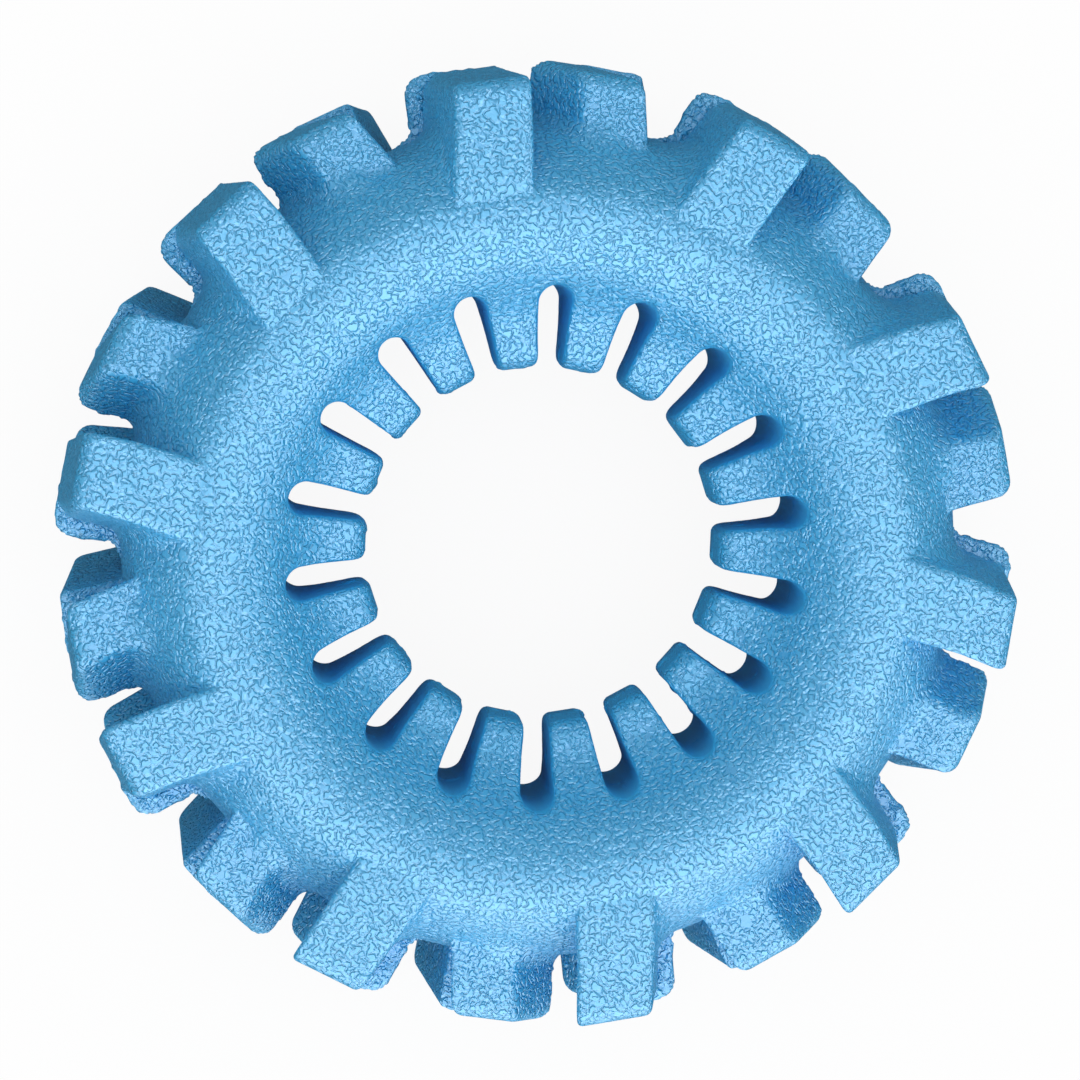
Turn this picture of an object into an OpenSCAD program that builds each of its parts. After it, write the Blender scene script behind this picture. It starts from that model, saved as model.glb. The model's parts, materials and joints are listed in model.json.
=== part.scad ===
// Ring-shaped rubber chew toy in the form of a tractor tyre.
// Two casing halves meet on the parting plane, with a staggered tread of long and short
// lugs outside and a ring of flexing fingers inside.
// The ring's axis is Z, and the origin is its centre, on the parting plane.

/* [Ring] */
// Outer radius of the casing, between the lugs
casing_r = 66.5; // [65:0.1:69]
// Width of the casing's section, from its outside to its bore, where the fingers leave it
casing_w = 27.7; // [27.5:0.1:29.5]
// Height of each of the ring's two faces over the parting plane
half_depth = 20.4; // [18:0.1:24]
// Distance of the shoulder between the ring's face and its outer wall, in from the casing's outside
shoulder_inset = 10.5; // [9:0.1:12]

/* [Lugs] */
// Lugs of each kind round one casing half
lug_count = 10; // [8:1:10]
// Height of the tread over the casing, on the parting plane
lug_height = 9.7; // [7:0.1:12]
// Drop of the tread from the parting plane to the ring's faces
tread_drop = 2.5; // [2:0.1:4.5]
// Depth that each lug's flat seat lies inside the casing
lug_seat_depth = 10.5; // [7:0.1:12]
// Width of a long lug, which reaches the ring's face
long_lug_w = 11.9; // [8:0.1:13]
// Width of a short lug, which stops behind the ring's face
short_lug_w = 10.4; // [8:0.1:12]
// Height of a short lug's face over the parting plane
short_lug_depth = 11.3; // [8:0.1:14]
// Sideways lean of a long lug, from its face to the parting plane
long_lug_lean = 3.6; // [1.6:0.1:4]
// Sideways lean of a short lug, from its face to the parting plane
short_lug_lean = 6.3; // [0:0.1:7]
// Round on the outer front edge of a lug
lug_edge_round = 2; // [1:0.1:3]

/* [Lug angles] */
// Angle of the first long lug's face on the front half
front_long_angle = 26; // [20:0.5:30]
// Angle from a long lug back to the short lug beside it, on the front half
front_short_lag = 16; // [14:0.1:18]
// Angle of the first long lug's face on the rear half
rear_long_angle = 7.5; // [2:0.5:12]
// Angle from a long lug back to the short lug beside it, on the rear half
rear_short_lag = 18; // [14:0.1:18]

/* [Fingers] */
// Fingers round the inside of the ring
finger_count = 18; // [14:1:18]
// Length of a finger, from the casing's bore to its tip
finger_length = 11; // [9:0.1:12.5]
// Depth that the slots between the fingers reach into the casing
slot_reach = 2.9; // [2.3:0.1:4]
// Width of a slot at its outer end
slot_w = 6; // [5:0.1:6.4]
// Width of a slot at the finger tips
slot_tip_w = 3.8; // [3:0.1:4.5]
// Thickness of a finger at its root
finger_root_t = 17.2; // [15:0.1:18]
// Thickness of a finger at its tip
finger_tip_t = 14.4; // [12:0.1:14.8]
// Chamfer round a finger's tip
tip_chamfer = 1; // [0.5:0.1:2]
// Angle of the first slot
slot_angle = 8; // [0:0.5:20]

/* [Flex] */
// Distance from the casing's bore in to the line that a finger bends about
flex_inset = 0.8; // [0.4:0.1:1.3]
// Width of the round root that a finger bends on, inside the casing
root_w = 6.8; // [5:0.1:7]
// Gap between a finger and the casing
flex_gap = 0.3; // [0.2:0.05:0.4]

/* [Hidden] */

rubber_blue = [0.43, 0.71, 0.88];
round_fn = 96;
corner_fn = 32;
lug_pitch = 360 / lug_count;
finger_pitch = 360 / finger_count;
// The casing's section is two circles of this radius, one in each half, inside the outer wall
tube_r = casing_w / 2;
tube_mid_r = casing_r - tube_r;
tube_rise = half_depth - tube_r;
casing_bore_r = casing_r - casing_w;
// The outer wall is an arc from the parting plane to the shoulder, centred on the parting plane
shoulder_r = casing_r - shoulder_inset;
shoulder_height = tube_rise + sqrt(pow(tube_r, 2) - pow(shoulder_r - tube_mid_r, 2));
wall_curve_r = (pow(shoulder_inset, 2) + pow(shoulder_height, 2)) / (2 * shoulder_inset);
wall_mid_r = casing_r - wall_curve_r;
tread_r = casing_r + lug_height;
tip_r = casing_bore_r - finger_length;
slot_end_r = casing_bore_r + slot_reach;
flex_r = casing_bore_r - flex_inset;
lug_seat_r = casing_r - lug_seat_depth;
flex_root_r = finger_root_t / 2;
socket_r = flex_root_r + flex_gap;
slot_round_r = slot_w / 2;
slot_round_at = slot_end_r - slot_round_r;
// How far the sockets open into a slot's round end, as a share of its radius
socket_share = 1 / 3;
// How far every cut runs past the solid that it cuts
overrun = 1;

// Radius of the tread at a height over the parting plane
function tread_at(height) = tread_r - tread_drop * height / half_depth;

// Angle of a lug's face
function lug_angle(first_angle, lag, i) = first_angle - lag + (i - 1) * lug_pitch;

// Angle of a finger's middle, half a pitch past its slot
function finger_angle(i) = slot_angle + (i - 0.5) * finger_pitch;

// Half of the casing's section, above the parting plane
module tube_section() {
    intersection() {
        union() {
            translate([tube_mid_r, tube_rise])
                circle(r = tube_r, $fn = round_fn);
            translate([casing_bore_r, 0])
                square([casing_w + overrun, tube_rise]);
        }
        translate([wall_mid_r, 0])
            circle(r = wall_curve_r, $fn = round_fn);
    }
}

// Everything above the parting plane
module above_parting() {
    linear_extrude(half_depth + overrun)
        circle(r = tread_r, $fn = round_fn);
}

// Outline of one slot, seen along the ring's axis
module slot_outline() {
    translate([slot_round_at, 0])
        circle(r = slot_round_r, $fn = round_fn);
    polygon([
        [tip_r - overrun, -slot_tip_w / 2],
        [tip_r, -slot_tip_w / 2],
        [slot_round_at, -slot_round_r],
        [slot_round_at, slot_round_r],
        [tip_r, slot_tip_w / 2],
        [tip_r - overrun, slot_tip_w / 2]
    ]);
}

// All the slots, cut right through the ring
module slots() {
    for (i = [1:finger_count])
        rotate([0, 0, slot_angle + (i - 1) * finger_pitch])
            translate([0, 0, -half_depth - overrun])
                linear_extrude(2 * (half_depth + overrun))
                    slot_outline();
}

// Stands a section drawn as radius and height on a block of the given width
module across(width) {
    rotate([90, 0, 0])
        translate([0, 0, -width / 2])
            linear_extrude(width)
                children();
}

// Section of a lug above the parting plane: a flat seat, the face, a rounded edge and the tread
module lug_section(depth) {
    edge_r = tread_at(depth);
    polygon([
        [lug_seat_r, 0],
        [tread_r, 0],
        [tread_at(depth - lug_edge_round), depth - lug_edge_round],
        [edge_r - lug_edge_round, depth],
        [lug_seat_r, depth]
    ]);
    translate([edge_r - lug_edge_round, depth - lug_edge_round])
        circle(r = lug_edge_round, $fn = corner_fn);
}

// One lug of a front half at angle 0, leaning towards the parting plane
module lug(depth, width, lean) {
    intersection() {
        across(2 * (width + lean))
            lug_section(depth);
        rotate([90, 0, 90])
            linear_extrude(tread_r + overrun)
                polygon([
                    [-width / 2 + lean, 0],
                    [width / 2 + lean, 0],
                    [width / 2, depth],
                    [-width / 2, depth]
                ]);
    }
}

module long_lug() {
    lug(half_depth, long_lug_w, long_lug_lean);
}

module short_lug() {
    lug(short_lug_depth, short_lug_w, short_lug_lean);
}

// Both rows of lugs of one half
module lug_rows(first_angle, short_lag) {
    for (i = [1:lug_count]) {
        rotate([0, 0, lug_angle(first_angle, 0, i)])
            long_lug();
        rotate([0, 0, lug_angle(first_angle, short_lag, i)])
            short_lug();
    }
}

// Section of a finger: the tapered blade and the round root that it bends on
module finger_section() {
    polygon([
        [tip_r, -finger_tip_t / 2 + tip_chamfer],
        [tip_r + tip_chamfer, -finger_tip_t / 2],
        [flex_r, -flex_root_r],
        [flex_r, flex_root_r],
        [tip_r + tip_chamfer, finger_tip_t / 2],
        [tip_r, finger_tip_t / 2 - tip_chamfer]
    ]);
    translate([flex_r, 0])
        circle(r = flex_root_r, $fn = round_fn);
}

// Outline of a finger along the ring's axis, between two slots, with its narrower root
module finger_outline() {
    half_pitch = finger_pitch / 2;
    difference() {
        polygon([
            [0, 0],
            [flex_r, -flex_r * tan(half_pitch)],
            [flex_r, flex_r * tan(half_pitch)]
        ]);
        for (side = [-1, 1])
            rotate(side * half_pitch)
                slot_outline();
        for (side = [-1, 1])
            translate([tip_r, side * (tip_r * tan(half_pitch) - slot_tip_w / 2)])
                rotate(45)
                    square(tip_chamfer * sqrt(2), center = true);
    }
    translate([flex_r - flex_root_r, -root_w / 2])
        square([2 * flex_root_r, root_w]);
}

// One finger at angle 0
module finger() {
    intersection() {
        across(casing_bore_r)
            finger_section();
        translate([0, 0, -half_depth])
            linear_extrude(2 * half_depth)
                finger_outline();
    }
}

// Room in the casing for the root of one finger at angle 0, open to the slots on both sides
module finger_socket() {
    intersection() {
        translate([flex_r, casing_bore_r / 2, 0])
            rotate([90, 90, 0])
                cylinder(r = socket_r, h = casing_bore_r, $fn = round_fn);
        translate([0, 0, -half_depth])
            linear_extrude(2 * half_depth) {
                translate([0, -casing_bore_r / 2])
                    square([slot_round_at + slot_round_r * socket_share, casing_bore_r]);
                translate([0, -root_w / 2 - flex_gap])
                    square([casing_r, root_w + 2 * flex_gap]);
            }
    }
}

// One casing half above the parting plane, with room for its lugs, the slots and the fingers
module casing_half(first_angle, short_lag) {
    difference() {
        intersection() {
            rotate_extrude($fn = round_fn)
                tube_section();
            above_parting();
        }
        lug_rows(first_angle, short_lag);
        slots();
        for (i = [1:finger_count])
            rotate([0, 0, finger_angle(i)])
                finger_socket();
    }
}

module front_casing() {
    color(rubber_blue)
        casing_half(front_long_angle, front_short_lag);
}

module rear_casing() {
    color(rubber_blue)
        mirror([0, 0, 1])
            casing_half(rear_long_angle, rear_short_lag);
}

module front_long_lug(i) {
    color(rubber_blue)
        rotate([0, 0, lug_angle(front_long_angle, 0, i)])
            long_lug();
}

module front_short_lug(i) {
    color(rubber_blue)
        rotate([0, 0, lug_angle(front_long_angle, front_short_lag, i)])
            short_lug();
}

module rear_long_lug(i) {
    color(rubber_blue)
        mirror([0, 0, 1])
            rotate([0, 0, lug_angle(rear_long_angle, 0, i)])
                long_lug();
}

module rear_short_lug(i) {
    color(rubber_blue)
        mirror([0, 0, 1])
            rotate([0, 0, lug_angle(rear_long_angle, rear_short_lag, i)])
                short_lug();
}

module ring_finger(i) {
    color(rubber_blue)
        rotate([0, 0, finger_angle(i)])
            finger();
}

front_casing();
rear_casing();
for (i = [1:lug_count]) {
    front_long_lug(i);
    front_short_lug(i);
    rear_long_lug(i);
    rear_short_lug(i);
}
for (i = [1:finger_count]) {
    ring_finger(i);
}
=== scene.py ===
import json
import math
import bpy
import numpy as np
from mathutils import Matrix, Vector


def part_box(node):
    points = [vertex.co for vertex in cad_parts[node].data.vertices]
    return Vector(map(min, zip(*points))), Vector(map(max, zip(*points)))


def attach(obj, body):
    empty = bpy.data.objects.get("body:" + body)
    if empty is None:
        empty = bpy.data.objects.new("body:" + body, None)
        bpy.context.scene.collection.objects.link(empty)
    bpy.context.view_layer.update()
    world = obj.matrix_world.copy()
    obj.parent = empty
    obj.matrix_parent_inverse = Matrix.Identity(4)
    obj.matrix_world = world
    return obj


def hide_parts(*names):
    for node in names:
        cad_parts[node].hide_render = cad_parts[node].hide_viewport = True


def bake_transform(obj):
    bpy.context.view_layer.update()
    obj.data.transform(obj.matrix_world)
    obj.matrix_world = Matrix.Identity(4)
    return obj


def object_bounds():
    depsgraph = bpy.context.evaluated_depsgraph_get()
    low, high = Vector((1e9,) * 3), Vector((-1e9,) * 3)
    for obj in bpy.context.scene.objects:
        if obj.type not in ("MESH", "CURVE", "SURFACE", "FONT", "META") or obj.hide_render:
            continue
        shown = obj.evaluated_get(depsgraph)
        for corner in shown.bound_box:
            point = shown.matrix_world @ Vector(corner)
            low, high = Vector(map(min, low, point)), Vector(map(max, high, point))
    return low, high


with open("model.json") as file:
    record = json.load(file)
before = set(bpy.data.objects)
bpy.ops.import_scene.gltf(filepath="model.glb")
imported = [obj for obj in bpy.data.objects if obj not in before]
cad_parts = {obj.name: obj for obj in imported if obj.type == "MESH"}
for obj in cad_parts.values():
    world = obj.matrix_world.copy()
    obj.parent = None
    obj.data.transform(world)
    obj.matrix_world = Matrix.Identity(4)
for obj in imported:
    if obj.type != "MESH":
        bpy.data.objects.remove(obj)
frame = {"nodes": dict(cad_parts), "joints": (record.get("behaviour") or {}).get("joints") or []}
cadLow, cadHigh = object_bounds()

mm = 0.001
print("frame loaded:", len(frame["nodes"]), "nodes")


# The frame's joints, and its sizes in millimetres
joints = {joint["child"]: joint for joint in frame["joints"]}
casingHigh = np.array(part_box("front_casing")[1]) / mm
fingerNames = sorted(joints, key=lambda name: int(name.split("_")[1]))
fingerAngles = {}
for name in fingerNames:
    pivot = joints[name]["pos_m"]
    fingerAngles[name] = math.atan2(pivot[1], pivot[0])
fingerPitch = 2 * math.pi / len(fingerNames)

ring = {
    "outerR": casingHigh[0],
    "boreR": 38.8,
    "halfDepth": casingHigh[2],
    "seamR": 40.6,          # fingers and casing meet here, inside the slots
    "shoulderInset": 10.5,  # from the casing's outside in to the shoulder over its outer wall
    "shoulderRound": 0.5,
}
ring["tubeR"] = (ring["outerR"] - ring["boreR"]) / 2
ring["tubeMidR"] = (ring["outerR"] + ring["boreR"]) / 2
ring["tubeRise"] = ring["halfDepth"] - ring["tubeR"]
shoulderOut = ring["outerR"] - ring["shoulderInset"] - ring["tubeMidR"]
shoulderRise = ring["tubeRise"] + math.sqrt(ring["tubeR"] ** 2 - shoulderOut ** 2)
ring["wallR"] = (ring["shoulderInset"] ** 2 + shoulderRise ** 2) / (2 * ring["shoulderInset"])

finger = {
    "tipR": 27.8,
    "tipHalf": 6.8,         # half thickness at the tip
    "rootHalf": 8.6,        # half thickness at the root
    "rootR": 38.0,
    "tipRound": 2.3,
    "tipDraft": 0.07,       # how far the tip leans back for each step away from its middle
    "fillet": 6.0,          # the hollow round from a finger's face to the ring
    "rim": 0.8,             # round on the slots' edges
    "tipRim": 1.15,         # the same at the finger tips
    "tipRimEnd": 3,         # how far from the tip it has passed into the other
    "plug": 2.6,            # how far a finger's piece runs on under the casing's skin
    "dip": 0.03,            # how fast its skin dips there, for each square of the distance
    "sectorShare": 0.48,    # half of its room round the axis, as a share of the pitch
}
casingEdge = {
    "reach": 1.2,           # how far the casing's piece runs on under the fingers' skin
    "dip": 0.25,            # how fast its skin dips there, for each square of the distance
}
slot = {
    "tipHalf": 1.88,        # half width at the finger tips
    "endHalf": 2.65,        # half width, and round, at the outer end
    "endR": 41.3,
}

lugShape = {
    "treadR": 76.2,
    "treadEdgeR": 73.7,
    "treadRound": 2.2,      # between the face and the tread
    "sideRound": 0.9,       # along a lug's two sides
    "leanRound": 3.0,       # the same at the parting plane, on the side that it leans to
    "root": 0.7,            # hollow round where a lug leaves the ring
    "leanRoot": 3.2,        # the same on the side that it leans to
    "spread": 0.02,         # how much wider a lug gets towards its root
    "skew": math.radians(8),    # a front lug's sides' angle to the radius, each row its own way
    "sinkFrom": 60,         # radius inside which the face sinks under the ring's crown
    "sink": 0.0095,         # how fast it sinks, for each square of the distance
    "leanBlend": 2,         # half width of the change from one side's rounds to the other's
    "rootFade": (55, 62),   # radii between which the hollow round at a lug's foot grows
    "leastRoot": 0.05,
    "lift": 0.01,           # how far the hollow round's outer edge lies under the casing's skin
    "dip": 0.06,            # how fast it dips further, for each square of the distance
    "skirt": 1.6,           # how far a lug's piece runs on under the casing's skin
}
longLug = {
    "width": 11.9,
    "depth": ring["halfDepth"],
    "lean": 3.6,            # from the face to the parting plane
    "innerR": 53.0,         # where the lug's piece ends
    "turn": -1,             # the side to which it stands askew
    "turnR": 68.5,          # the radius at which it does so
}
shortLug = {"width": 10.4, "depth": 11.3, "lean": 7.4, "innerR": 59.0, "turn": 1, "turnR": 74.5}


def faceAngle(node):
    # Angle of the middle of a lug's face, the flat that lies furthest along the axis
    points = np.array([v.co for v in frame["nodes"][node].data.vertices])
    height, slack = np.abs(points[:, 2]), 0.01 * mm
    face = points[height > height.max() - slack]
    middle = (face.min(0) + face.max(0)) / 2
    return math.atan2(middle[1], middle[0])


# Distance fields in millimetres, below zero inside
def roundUnion(a, b, r):
    return np.maximum(r, np.minimum(a, b)) - np.hypot(np.maximum(r - a, 0), np.maximum(r - b, 0))


def roundCut(a, b, r):
    return np.minimum(-r, np.maximum(a, b)) + np.hypot(np.maximum(r + a, 0), np.maximum(r + b, 0))


def smoothStep(low, high, x):
    t = np.clip((x - low) / (high - low), 0, 1)
    return t * t * (3 - 2 * t)


def tubeField(r, z):
    # The ring's section: a tall tube, cut by the curve of its outer wall
    tube = np.hypot(r - ring["tubeMidR"], np.maximum(np.abs(z) - ring["tubeRise"], 0)) - ring["tubeR"]
    wall = np.hypot(r - ring["outerR"] + ring["wallR"], z) - ring["wallR"]
    return roundCut(tube, wall, ring["shoulderRound"])


def foldAngle(angle, middle):
    return np.mod(angle - middle + fingerPitch / 2, fingerPitch) - fingerPitch / 2


def slotField(r, angle, slotAngle):
    folded = foldAngle(angle, slotAngle)
    along, across = r * np.cos(folded), np.abs(r * np.sin(folded))
    endMid = slot["endR"] - slot["endHalf"]
    slope = (slot["endHalf"] - slot["tipHalf"]) / (endMid - finger["tipR"])
    wedge = (across - slot["tipHalf"] - slope * (along - finger["tipR"])) * math.cos(math.atan(slope))
    return np.where(along < endMid, wedge, np.hypot(along - endMid, across) - slot["endHalf"])


def ringField(x, y, z, slotAngle):
    # The ring with its fingers and slots: everything but the lugs
    r, angle = np.hypot(x, y), np.arctan2(y, x)
    fingerFold = foldAngle(angle, slotAngle + fingerPitch / 2)
    rise = (finger["rootHalf"] - finger["tipHalf"]) / (finger["rootR"] - finger["tipR"])
    face = np.abs(z) - finger["tipHalf"] - rise * (r - finger["tipR"])
    tip = finger["tipR"] + finger["tipDraft"] * np.abs(z) - r * np.cos(fingerFold)
    plate = roundCut(face, tip, finger["tipRound"])
    plate = np.maximum(plate, r - ring["tubeMidR"])
    whole = roundUnion(tubeField(r, z), plate, finger["fillet"])
    nearTip = 1 - smoothStep(finger["tipR"], finger["tipR"] + finger["tipRimEnd"], r)
    rim = finger["rim"] + (finger["tipRim"] - finger["rim"]) * nearTip
    return roundCut(whole, -slotField(r, angle, slotAngle), rim)


def lugMiddle(x, z, lug):
    # Where the middle between a lug's sides lies across the X axis
    askew = lug["turn"] * math.tan(lugShape["skew"]) * (x - lug["turnR"])
    return askew + lug["lean"] * (1 - z / lug["depth"])


def leaningSide(across):
    # 1 on the side that a lug leans to, and 0 on its other side
    return smoothStep(-lugShape["leanBlend"], lugShape["leanBlend"], across)


def lugField(x, y, z, lug):
    # One lug above the parting plane, standing on the X axis
    lean = lugMiddle(x, z, lug)
    half = lug["width"] / 2 + lugShape["spread"] * (lugShape["treadEdgeR"] - x)
    side = (np.abs(y - lean) - half) * math.cos(math.atan(lug["lean"] / lug["depth"]))
    slope = (lugShape["treadR"] - lugShape["treadEdgeR"]) / ring["halfDepth"]
    tread = (x - lugShape["treadR"] + slope * z) * math.cos(math.atan(slope))
    sink = lugShape["sink"] * np.maximum(lugShape["sinkFrom"] - x, 0) ** 2
    front = roundCut(tread, z - lug["depth"] + sink, lugShape["treadRound"])
    fade = leaningSide(y - lean) * np.clip(1 - z / lug["depth"], 0, 1)
    edge = lugShape["sideRound"] + (lugShape["leanRound"] - lugShape["sideRound"]) * fade
    return roundCut(side, front, edge)


def casingHalfField(x, y, z):
    r = np.hypot(x, y)
    inward = np.maximum(ring["seamR"] - r, 0)
    skin = ringField(x, y, z, 0.0) + casingEdge["dip"] * inward ** 2
    return np.maximum(np.maximum(skin, ring["seamR"] - casingEdge["reach"] - r), -z)


def fingerField(x, y, z):
    r = np.hypot(x, y)
    outward = np.maximum(r - ring["seamR"], 0)
    skin = ringField(x, y, z, fingerPitch / 2) + finger["dip"] * outward ** 2
    sector = np.abs(y) - x * math.tan(finger["sectorShare"] * fingerPitch)
    return np.maximum(np.maximum(skin, r - ring["seamR"] - finger["plug"]), sector)


def lugPieceField(x, y, z, lug):
    # The lug with the hollow round at its foot, and a skirt that goes under the casing's skin
    alone = lugField(x, y, z, lug)
    leaning = leaningSide(y - lugMiddle(x, z, lug))
    root = lugShape["root"] + (lugShape["leanRoot"] - lugShape["root"]) * leaning
    root = np.maximum(root * smoothStep(*lugShape["rootFade"], x), lugShape["leastRoot"])
    away = np.maximum(alone - root, 0)
    ground = tubeField(np.hypot(x, y), z) + lugShape["lift"] + lugShape["dip"] * away ** 2
    joined = roundUnion(ground, alone, root)
    skirt = np.maximum(joined, alone - root - lugShape["skirt"])
    return np.maximum(np.maximum(skirt, lug["innerR"] - x), -z)


# Turns a field into a mesh with a vertex in each cell that the surface crosses, pulled onto the surface
def netMesh(field, grid, place, closed=False):
    values = field(*place(*np.meshgrid(*grid, indexing="ij")))
    if closed:
        values = np.concatenate([values, values[:, :1]], 1)
    cells = np.array(values.shape) - 1
    corners = [(i, j, k) for i in (0, 1) for j in (0, 1) for k in (0, 1)]
    inside = values < 0
    count = np.zeros(cells, np.int8)
    for corner in corners:
        count += inside[tuple(slice(c, c + n) for c, n in zip(corner, cells))]
    mixed = (count > 0) & (count < len(corners))
    cell = np.argwhere(mixed)
    number = np.full(mixed.shape, -1)
    number[mixed] = np.arange(len(cell))
    at = {corner: values[tuple((cell + corner).T)] for corner in corners}
    total, hits = np.zeros((len(cell), 3)), np.zeros(len(cell))
    for axis in range(3):
        for corner in corners:
            if corner[axis]:
                continue
            a, b = at[corner], at[tuple(c + (n == axis) for n, c in enumerate(corner))]
            cross = (a < 0) != (b < 0)
            total[cross] += corner
            total[cross, axis] += a[cross] / (a[cross] - b[cross])
            hits[cross] += 1
    spot = cell + total / hits[:, None]
    points = np.stack(place(*(g[0] + spot[:, n] * (g[1] - g[0]) for n, g in enumerate(grid))), 1)
    faces = []
    for axis in range(3):
        low = inside[tuple(slice(0, -1) if n == axis else slice(None) for n in range(3))]
        high = inside[tuple(slice(1, None) if n == axis else slice(None) for n in range(3))]
        edge = np.argwhere(low != high)
        if closed:
            edge = edge[edge[:, 1] < cells[1]]
        outward = low[tuple(edge.T)]
        others = [n for n in range(3) if n != axis]
        quad = []
        for steps in ((0, 0), (1, 0), (1, 1), (0, 1)):
            near = edge.copy()
            near[:, others[0]] -= steps[0]
            near[:, others[1]] -= steps[1]
            if closed:
                near[:, 1] %= cells[1]
            quad.append(number[tuple(near.T)])
        quad = np.stack(quad, 1)
        turned = outward if axis == 1 else ~outward
        quad[turned] = quad[turned][:, ::-1]
        faces.append(quad)
    return pulledOn(points, field), np.concatenate(faces)


def pulledOn(points, field, rounds=3, reach=0.02, most=0.25, flattest=0.25, least=1e-9):
    # Moves points onto the surface, each round by its distance along its steepest slope
    for _ in range(rounds):
        value = field(*points.T)
        slope = np.stack([(field(*(points + step).T) - field(*(points - step).T)) / (2 * reach)
                          for step in reach * np.eye(3)], 1)
        move = slope * (value / np.maximum((slope ** 2).sum(1), flattest))[:, None]
        length = np.maximum(np.linalg.norm(move, axis=1, keepdims=True), least)
        points = points - move * np.minimum(1, most / length)
    return points


def boxGrid(low, high, step):
    return [np.arange(a, b + step, step) for a, b in zip(low, high)]


def straight(x, y, z):
    return x, y, z


def aroundAxis(r, angle, z):
    return r * np.cos(angle), r * np.sin(angle), z


def mirrored(points, faces):
    return points * (1, 1, -1), faces[:, ::-1]


def makeProto(name, points, faces, smoothness):
    # A master mesh, with how smooth the mould left each point
    mesh = bpy.data.meshes.new(name)
    mesh.from_pydata((points * mm).tolist(), [], faces.tolist())
    layer = mesh.attributes.new("smoothness", "FLOAT", "POINT")
    layer.data.foreach_set("value", smoothness.astype(np.float32))
    mesh.shade_smooth()
    return mesh


mouldSmooth = {
    "wall": 0.95,           # how smooth the slots' walls come out of the mould
    "wallEdge": (0.05, 0.45),
    "tip": 0.7,             # the same for the finger tips
    "tipEdge": (0.2, 1.0),
}


def ringSmoothness(points, slotAngle):
    r, angle = np.hypot(points[:, 0], points[:, 1]), np.arctan2(points[:, 1], points[:, 0])
    wall = 1 - smoothStep(*mouldSmooth["wallEdge"], slotField(r, angle, slotAngle))
    tip = 1 - smoothStep(*mouldSmooth["tipEdge"], r - finger["tipR"])
    return np.maximum(mouldSmooth["wall"] * wall, mouldSmooth["tip"] * tip)


# Grids for the nets: the step, and the room that holds each piece
casingNet = {"step": 0.52, "turns": 540, "radii": (38.6, 68.2), "heights": (-0.78, 21.6)}
casingGrid = [
    np.arange(*casingNet["radii"], casingNet["step"]),
    np.arange(casingNet["turns"]) * (2 * math.pi / casingNet["turns"]),
    np.arange(*casingNet["heights"], casingNet["step"]),
]
casingPoints, casingFaces = netMesh(casingHalfField, casingGrid, aroundAxis, closed=True)
print("casing half:", len(casingFaces), "faces")

fingerNet = {"step": 0.4, "low": (27, -8, -18), "high": (44, 8, 18)}
fingerGrid = boxGrid(fingerNet["low"], fingerNet["high"], fingerNet["step"])
fingerPoints, fingerFaces = netMesh(fingerField, fingerGrid, straight)
print("finger:", len(fingerFaces), "faces")

casingSmooth = ringSmoothness(casingPoints, 0)
fingerSmooth = ringSmoothness(fingerPoints, fingerPitch / 2)
protos = {
    "front_casing": makeProto("frontCasing", casingPoints, casingFaces, casingSmooth),
    "rear_casing": makeProto("rearCasing", *mirrored(casingPoints, casingFaces), casingSmooth),
    "finger": makeProto("finger", fingerPoints, fingerFaces, fingerSmooth),
}
lugNet = {"step": 0.45, "inner": 1, "outerR": 78, "across": (-12.5, 19.5), "bottom": -1.02, "top": 6}
for kind, lug in (("long_lug", longLug), ("short_lug", shortLug)):
    low = (lug["innerR"] - lugNet["inner"], lugNet["across"][0], lugNet["bottom"])
    high = (lugNet["outerR"], lugNet["across"][1], lug["depth"] + lugNet["top"])
    grid = boxGrid(low, high, lugNet["step"])
    # Only the front lugs are seen to stand askew
    for half, turn in (("front_", lug["turn"]), ("rear_", 0)):
        turned = dict(lug, turn=turn)
        shape = netMesh(lambda x, y, z: lugPieceField(x, y, z, turned), grid, straight)
        shape = shape if half == "front_" else mirrored(*shape)
        protos[half + kind] = makeProto(half + kind, *shape, np.zeros(len(shape[0])))
        print(half + kind, len(shape[1]), "faces")


# Small node builders: each value may be a number, a vector or another node's output
def mathNode(tree, kind, *values, clamp=False):
    node = tree.nodes.new("ShaderNodeMath")
    node.operation, node.use_clamp = kind, clamp
    return wired(tree, node, values)


def vectorNode(tree, kind, *values, out=0, scale=None):
    node = tree.nodes.new("ShaderNodeVectorMath")
    node.operation = kind
    wired(tree, node, values)
    if scale is not None:
        wired(tree, node, [scale], first=node.inputs.find("Scale"))
    return node.outputs[out]


def wired(tree, node, values, first=0):
    for socket, value in zip(list(node.inputs)[first:], values):
        if isinstance(value, bpy.types.NodeSocket):
            tree.links.new(value, socket)
        else:
            socket.default_value = value
    return node.outputs[0]


def newGroup(name, inputs, outputs):
    tree = bpy.data.node_groups.new(name, "ShaderNodeTree")
    for socket, kind in inputs:
        tree.interface.new_socket(socket, in_out="INPUT", socket_type="NodeSocket" + kind)
    for socket, kind in outputs:
        tree.interface.new_socket(socket, in_out="OUTPUT", socket_type="NodeSocket" + kind)
    return tree, tree.nodes.new("NodeGroupInput").outputs, tree.nodes.new("NodeGroupOutput").inputs


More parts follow.
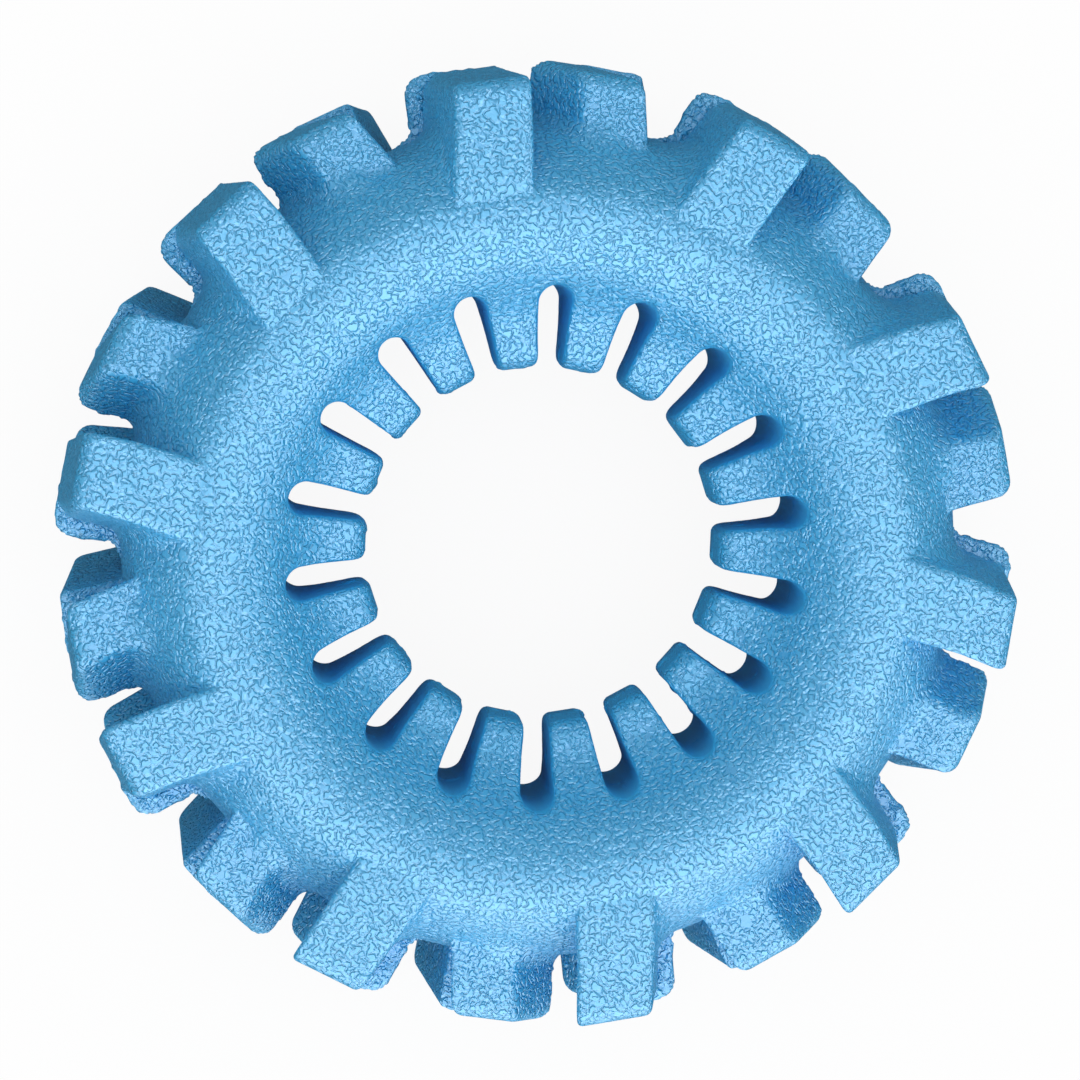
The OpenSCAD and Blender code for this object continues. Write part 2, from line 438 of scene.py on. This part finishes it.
# The unevenness of moulded rubber, which one node tree gives each copy that it puts at its angle
castLook = {
    "lumps": 0.30 * mm,     # slow waves of the surface
    "lumpSize": 1 / (22 * mm),
    "ripple": 0.10 * mm,    # quick unevenness
    "rippleSize": 1 / (3.2 * mm),
    "flash": 0.55 * mm,     # nubs of flash on the parting plane
    "flashBand": 0.9 * mm,
    "nubSize": 1 / (2.6 * mm),
    "nubFrom": 0.52,        # the part of their noise that stays flat
    "nubRise": 4.0,
    "shift": (0.26 * mm, 0.65 * mm, 0),     # how far off the tread's middle the ring is cast
    "shiftInner": 65 * mm,
    "shiftOuter": 74 * mm,
    "crowd": math.radians(0.7),     # how far the lugs crowd towards one side
    "crowdFrom": math.radians(-35),
}


def castAngle(node):
    angle = faceAngle(node)
    return angle + castLook["crowd"] * math.cos(angle - castLook["crowdFrom"])


def linkAll(tree, *pairs):
    for a, b in pairs:
        tree.links.new(a, b)


def placeTree():
    tree = bpy.data.node_groups.new("placeAndRoughen", "GeometryNodeTree")
    face = tree.interface
    face.new_socket("Geometry", in_out="INPUT", socket_type="NodeSocketGeometry")
    for name in ("Angle", "Lumps", "Lump Size", "Ripple", "Ripple Size", "Flash", "Flash Band",
                 "Nub Size", "Nub From", "Nub Rise", "Shift Inner", "Shift Outer"):
        face.new_socket(name, in_out="INPUT", socket_type="NodeSocketFloat")
    face.new_socket("Shift", in_out="INPUT", socket_type="NodeSocketVector")
    face.new_socket("Rubber", in_out="INPUT", socket_type="NodeSocketMaterial")
    face.new_socket("Geometry", in_out="OUTPUT", socket_type="NodeSocketGeometry")
    add = tree.nodes.new
    given, result = add("NodeGroupInput"), add("NodeGroupOutput")
    turn, spin = add("GeometryNodeTransform"), add("ShaderNodeCombineXYZ")
    place, normal = add("GeometryNodeInputPosition"), add("GeometryNodeInputNormal")
    linkAll(tree, (given.outputs["Angle"], spin.inputs["Z"]),
            (spin.outputs[0], turn.inputs["Rotation"]),
            (given.outputs["Geometry"], turn.inputs["Geometry"]))

    def noise(size, amount, detail):
        node = add("ShaderNodeTexNoise")
        node.inputs["Detail"].default_value = detail
        linkAll(tree, (place.outputs[0], node.inputs["Vector"]), (size, node.inputs["Scale"]))
        evened = mathNode(tree, "SUBTRACT", node.outputs["Fac"], 0.5)
        return mathNode(tree, "MULTIPLY", evened, amount)

    lumps = noise(given.outputs["Lump Size"], given.outputs["Lumps"], detail=1)
    ripple = noise(given.outputs["Ripple Size"], given.outputs["Ripple"], detail=2)
    height = add("ShaderNodeSeparateXYZ")
    tree.links.new(place.outputs[0], height.inputs[0])
    level = mathNode(tree, "ABSOLUTE", height.outputs["Z"])
    level = mathNode(tree, "DIVIDE", level, given.outputs["Flash Band"])
    near = mathNode(tree, "SUBTRACT", 1, level, clamp=True)
    nubs = add("ShaderNodeTexNoise")
    linkAll(tree, (place.outputs[0], nubs.inputs["Vector"]),
            (given.outputs["Nub Size"], nubs.inputs["Scale"]))
    ridge = mathNode(tree, "SUBTRACT", nubs.outputs["Fac"], given.outputs["Nub From"], clamp=True)
    ridge = mathNode(tree, "MULTIPLY", ridge, given.outputs["Nub Rise"])
    flash = mathNode(tree, "MULTIPLY", mathNode(tree, "MULTIPLY", ridge, near), given.outputs["Flash"])
    total = mathNode(tree, "ADD", mathNode(tree, "ADD", lumps, ripple), flash)
    push = vectorNode(tree, "SCALE", normal.outputs[0], scale=total)
    inner = add("ShaderNodeMapRange")
    inner.interpolation_type = "SMOOTHSTEP"
    inner.inputs["To Min"].default_value, inner.inputs["To Max"].default_value = 1, 0
    fromAxis = vectorNode(tree, "MULTIPLY", place.outputs[0], (1, 1, 0))
    linkAll(tree, (vectorNode(tree, "LENGTH", fromAxis, out=1), inner.inputs["Value"]),
            (given.outputs["Shift Inner"], inner.inputs["From Min"]),
            (given.outputs["Shift Outer"], inner.inputs["From Max"]))
    slide = vectorNode(tree, "SCALE", given.outputs["Shift"], scale=inner.outputs[0])
    move, real = add("GeometryNodeSetPosition"), add("GeometryNodeRealizeInstances")
    dress = add("GeometryNodeSetMaterial")
    linkAll(tree, (turn.outputs[0], move.inputs["Geometry"]),
            (vectorNode(tree, "ADD", push, slide), move.inputs["Offset"]),
            (move.outputs[0], real.inputs[0]), (real.outputs[0], dress.inputs["Geometry"]),
            (given.outputs["Rubber"], dress.inputs["Material"]), (dress.outputs[0], result.inputs[0]))
    return tree


# The mould's grain: three-armed stars that fill the skin, each turned its own way, with grooves between
starLook = {"Cell": 1.65 * mm, "Lobe": 0.5, "Groove": 0.55}
starSpread = 0.7            # how unevenly they lie
starAcross = (0.35, 0.2, 0.92)      # their arms are measured from here, a way that no flat face looks
rubberLook = {
    "skin": (0.021, 0.405, 0.765, 1),
    # painted shade: a darker colour down in the grain's grooves, standing in for the shade that falls in
    # them
    "paintedGrooveShade": (0.018, 0.36, 0.715, 1),
    "roughness": 0.47,
    "ior": 1.75,
    "specular": 1.0,
    "depth": 0.24 * mm,     # of the grooves
    "poreSize": 1 / (0.6 * mm),
    "poreShare": 0.16,      # how deep the pores are, as a share of the grooves' depth
}


def starGroup():
    tree, given, result = newGroup("starGrain", [("Vector", "Vector"), ("Normal", "Vector")]
                                   + [(name, "Float") for name in starLook], [("Star", "Float")])
    point = vectorNode(tree, "SCALE", given["Vector"], scale=mathNode(tree, "DIVIDE", 1, given["Cell"]))
    askew = vectorNode(tree, "CROSS_PRODUCT", given["Normal"], starAcross)
    first = vectorNode(tree, "NORMALIZE", askew)
    second = vectorNode(tree, "CROSS_PRODUCT", given["Normal"], first)

    def distanceTo(feature):
        # Distance to a star's middle, which counts for less along its three arms
        cells, chance = tree.nodes.new("ShaderNodeTexVoronoi"), tree.nodes.new("ShaderNodeSeparateXYZ")
        cells.feature = feature
        cells.inputs["Scale"].default_value = 1
        cells.inputs["Randomness"].default_value = starSpread
        linkAll(tree, (point, cells.inputs["Vector"]), (cells.outputs["Color"], chance.inputs[0]))
        offset = vectorNode(tree, "SUBTRACT", point, cells.outputs["Position"])
        u = vectorNode(tree, "DOT_PRODUCT", offset, first, out=1)
        v = vectorNode(tree, "DOT_PRODUCT", offset, second, out=1)
        square = mathNode(tree, "MULTIPLY_ADD", u, u, mathNode(tree, "MULTIPLY", v, v))
        turn = mathNode(tree, "MULTIPLY", chance.outputs["X"], 2 * math.pi)
        arms = mathNode(tree, "MULTIPLY_ADD", mathNode(tree, "ARCTAN2", v, u), 3, turn)
        arms = mathNode(tree, "COSINE", arms)
        reach = mathNode(tree, "MULTIPLY_ADD", arms, given["Lobe"], 1)
        return mathNode(tree, "DIVIDE", mathNode(tree, "SQRT", square), reach)

    gap = mathNode(tree, "ABSOLUTE", mathNode(tree, "SUBTRACT", distanceTo("F1"), distanceTo("F2")))
    top = tree.nodes.new("ShaderNodeMapRange")
    top.interpolation_type = "SMOOTHSTEP"
    linkAll(tree, (gap, top.inputs["Value"]), (given["Groove"], top.inputs["From Max"]),
            (top.outputs[0], result["Star"]))
    return tree


def rubberMaterial():
    material = bpy.data.materials.new("blueRubber")
    material.use_nodes = True
    tree = material.node_tree
    add = tree.nodes.new
    shader = tree.nodes["Principled BSDF"]
    shader.inputs["Roughness"].default_value = rubberLook["roughness"]
    shader.inputs["IOR"].default_value = rubberLook["ior"]
    shader.inputs["Specular IOR Level"].default_value = rubberLook["specular"]
    where, facing = add("ShaderNodeTexCoord"), add("ShaderNodeNewGeometry")
    stars = add("ShaderNodeGroup")
    smooth = add("ShaderNodeAttribute")
    smooth.attribute_name = "smoothness"
    stars.node_tree = starGroup()
    for name, value in starLook.items():
        stars.inputs[name].default_value = value
    rough = mathNode(tree, "SUBTRACT", 1, smooth.outputs["Fac"])
    star = mathNode(tree, "MULTIPLY", stars.outputs["Star"], rough)
    pores = add("ShaderNodeTexNoise")
    pores.inputs["Scale"].default_value = rubberLook["poreSize"]
    pores.inputs["Detail"].default_value = 2
    height = mathNode(tree, "MULTIPLY_ADD", pores.outputs["Fac"], rubberLook["poreShare"], star)
    bump = add("ShaderNodeBump")
    bump.inputs["Distance"].default_value = rubberLook["depth"]
    # Painted shade: the rough skin takes the darker colour in the grooves between the stars, and the skin
    # colour on their tops and on smooth faces
    grooveShadeMix = add("ShaderNodeMix")
    grooveShadeMix.data_type = "RGBA"
    grooveShadeMix.inputs["A"].default_value = rubberLook["skin"]
    grooveShadeMix.inputs["B"].default_value = rubberLook["paintedGrooveShade"]
    linkAll(tree, (where.outputs["Object"], stars.inputs["Vector"]),
            (facing.outputs["Normal"], stars.inputs["Normal"]),
            (where.outputs["Object"], pores.inputs["Vector"]), (height, bump.inputs["Height"]),
            (bump.outputs[0], shader.inputs["Normal"]),
            (mathNode(tree, "SUBTRACT", rough, star, clamp=True), grooveShadeMix.inputs["Factor"]),
            (grooveShadeMix.outputs["Result"], shader.inputs["Base Color"]))
    return material


rubber = rubberMaterial()
placing = placeTree()
placeSockets = {item.name: item.identifier for item in placing.interface.items_tree
                if item.item_type == "SOCKET" and item.in_out == "INPUT"}


def placePiece(name, proto, angle):
    # Runs the tree on a copy of the master mesh and keeps the result as a plain mesh
    maker = bpy.data.objects.new(name + "Maker", protos[proto])
    bpy.context.scene.collection.objects.link(maker)
    step = maker.modifiers.new("place", "NODES")
    step.node_group = placing
    inputs = {"Angle": angle, "Lumps": castLook["lumps"], "Lump Size": castLook["lumpSize"],
              "Ripple": castLook["ripple"], "Ripple Size": castLook["rippleSize"],
              "Flash": castLook["flash"], "Flash Band": castLook["flashBand"],
              "Nub Size": castLook["nubSize"], "Nub From": castLook["nubFrom"],
              "Nub Rise": castLook["nubRise"], "Shift": castLook["shift"],
              "Shift Inner": castLook["shiftInner"], "Shift Outer": castLook["shiftOuter"],
              "Rubber": rubber}
    for socket, value in inputs.items():
        step[placeSockets[socket]] = value
    evaluated = maker.evaluated_get(bpy.context.evaluated_depsgraph_get())
    mesh = bpy.data.meshes.new_from_object(evaluated)
    maker.modifiers.remove(step)
    bpy.data.objects.remove(maker)
    piece = bpy.data.objects.new(name, mesh)
    bpy.context.scene.collection.objects.link(piece)
    return piece


for node in frame["nodes"]:
    if node in joints:
        continue
    if node.endswith("casing"):
        piece = placePiece("rubber_" + node, node, fingerAngles["finger_1"] - fingerPitch / 2)
    else:
        piece = placePiece("rubber_" + node, node.rsplit("_", 1)[0], castAngle(node))
    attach(piece, "casing")
    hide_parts(node)
print("casing halves and lugs placed")

# Radii for a bend in a finger's rubber; nothing below uses them
bend = {"pastSeam": 0.2, "end": 33.0}
bend["start"] = ring["seamR"] + bend["pastSeam"]
for node, angle in fingerAngles.items():
    piece = placePiece("rubber_" + node, "finger", angle)
    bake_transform(piece)
    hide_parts(node)
print("fingers placed")


studio = {
    "ambient": 1.02,
    "gloomGlossy": 0.03,    # what the skin mirrors away from the soft box
    "boxGlossy": 4.1,       # what it mirrors of the soft box overhead
    "boxTilt": math.radians(55),
    "boxAzimuth": math.radians(-78),
    "boxEdges": (0.28, 0.85),   # cosines of the angles between which the box fades in
    "keyPower": 0.1,        # in watts
    "keySize": 0.45,
    "keyDistance": 0.75,
    "keyAzimuth": math.radians(-80),
    "keyTilt": math.radians(38),
    "floorSize": 6.0,
    "floorPaint": (0.9, 0.9, 0.9, 1),
    "floorShade": 0.08,     # how much of the floor's look is lit, which shows the toy's shadow
    "floorBounce": 0.22,    # how much light it throws back on the toy
}


def seenBy(tree, rays, lit, seen):
    # One shader for every ray but the named kind
    path, mix = tree.nodes.new("ShaderNodeLightPath"), tree.nodes.new("ShaderNodeMixShader")
    linkAll(tree, (path.outputs[rays], mix.inputs["Fac"]), (lit, mix.inputs[1]), (seen, mix.inputs[2]))
    return mix.outputs[0]


def skyward(tilt, azimuth):
    return Vector((math.sin(tilt) * math.cos(azimuth), math.sin(tilt) * math.sin(azimuth), math.cos(tilt)))


def makeWorld():
    world = bpy.data.worlds.new("studio")
    bpy.context.scene.world = world
    world.use_nodes = True
    tree = world.node_tree
    light = tree.nodes["Background"]
    gleam, white = (tree.nodes.new("ShaderNodeBackground") for _ in range(2))
    for shade, strength in ((light, studio["ambient"]), (gleam, 1), (white, 1)):
        shade.inputs["Color"].default_value = (1, 1, 1, 1)
        shade.inputs["Strength"].default_value = strength
    way, box = tree.nodes.new("ShaderNodeTexCoord"), tree.nodes.new("ShaderNodeMapRange")
    towards = skyward(studio["boxTilt"], studio["boxAzimuth"])
    lined = vectorNode(tree, "DOT_PRODUCT", way.outputs["Generated"], towards, out=1)
    box.interpolation_type = "SMOOTHSTEP"
    wired(tree, box, (lined, *studio["boxEdges"], studio["gloomGlossy"], studio["boxGlossy"]))
    linkAll(tree, (box.outputs[0], gleam.inputs["Strength"]))
    flagged = seenBy(tree, "Is Glossy Ray", light.outputs[0], gleam.outputs[0])
    out = seenBy(tree, "Is Camera Ray", flagged, white.outputs[0])
    tree.links.new(out, tree.nodes["World Output"].inputs["Surface"])


def makeFloor():
    half = studio["floorSize"] / 2
    mesh = bpy.data.meshes.new("floor")
    corners = [(-half, -half), (half, -half), (half, half), (-half, half)]
    mesh.from_pydata([(x, y, cadLow.z) for x, y in corners], [], [(0, 1, 2, 3)])
    floor = bpy.data.objects.new("floor", mesh)
    bpy.context.scene.collection.objects.link(floor)
    material = bpy.data.materials.new("paleFloor")
    material.use_nodes = True
    tree = material.node_tree
    tree.nodes.remove(tree.nodes["Principled BSDF"])
    plain, bounced = (tree.nodes.new("ShaderNodeBsdfDiffuse") for _ in range(2))
    glow, clear = tree.nodes.new("ShaderNodeEmission"), tree.nodes.new("ShaderNodeBsdfTransparent")
    both = tree.nodes.new("ShaderNodeMixShader")
    plain.inputs["Color"].default_value = studio["floorPaint"]
    bounced.inputs["Color"].default_value = (*[studio["floorBounce"]] * 3, 1)
    both.inputs["Fac"].default_value = studio["floorShade"]
    linkAll(tree, (glow.outputs[0], both.inputs[1]), (plain.outputs[0], both.inputs[2]))
    unseen = seenBy(tree, "Is Glossy Ray", bounced.outputs[0], clear.outputs[0])
    out = seenBy(tree, "Is Camera Ray", unseen, both.outputs[0])
    tree.links.new(out, tree.nodes["Material Output"].inputs["Surface"])
    mesh.materials.append(material)


def makeKey():
    lamp = bpy.data.lights.new("key", "AREA")
    lamp.energy, lamp.size = studio["keyPower"], studio["keySize"]
    key = bpy.data.objects.new("key", lamp)
    bpy.context.scene.collection.objects.link(key)
    back = skyward(studio["keyTilt"], studio["keyAzimuth"])
    key.location = back * studio["keyDistance"]
    key.rotation_mode = "QUATERNION"
    key.rotation_quaternion = (-back).to_track_quat("-Z", "Y")


def makeCamera():
    # The photograph's camera, looking down on the toy's front face
    shot = {
        "frame": 1080,          # the photograph's width in pixels
        "pixelsPerMm": 6.27,    # at the toy's middle
        "distance": 608.9,      # from the toy's middle, in millimetres
        "tiltX": 5.6,           # in degrees
        "tiltY": 5.63,
        "roll": -0.17,
        "across": -1.9,         # how far the toy's middle lies off the frame's, in pixels
        "up": 5.27,
        "sensor": 36,
        "clip": (0.01, 20),
    }
    turn = Matrix.Identity(3)
    for tilt, axis in (("roll", "Z"), ("tiltX", "X"), ("tiltY", "Y")):
        turn = turn @ Matrix.Rotation(math.radians(shot[tilt]), 3, axis)
    data = bpy.data.cameras.new("camera")
    data.sensor_width = shot["sensor"]
    data.lens = data.sensor_width * shot["pixelsPerMm"] * shot["distance"] / shot["frame"]
    data.clip_start, data.clip_end = shot["clip"]
    camera = bpy.data.objects.new("camera", data)
    bpy.context.scene.collection.objects.link(camera)
    beside = Vector((-shot["across"], shot["up"], 0)) / shot["pixelsPerMm"]
    eye = (beside + Vector((0, 0, shot["distance"]))) * mm
    back = turn.transposed()
    camera.matrix_world = Matrix.Translation(back @ eye) @ back.to_4x4()
    bpy.context.scene.camera = camera


makeWorld()
makeFloor()
makeKey()
makeCamera()
bpy.context.scene.view_settings.view_transform = "Standard"
print("studio ready")
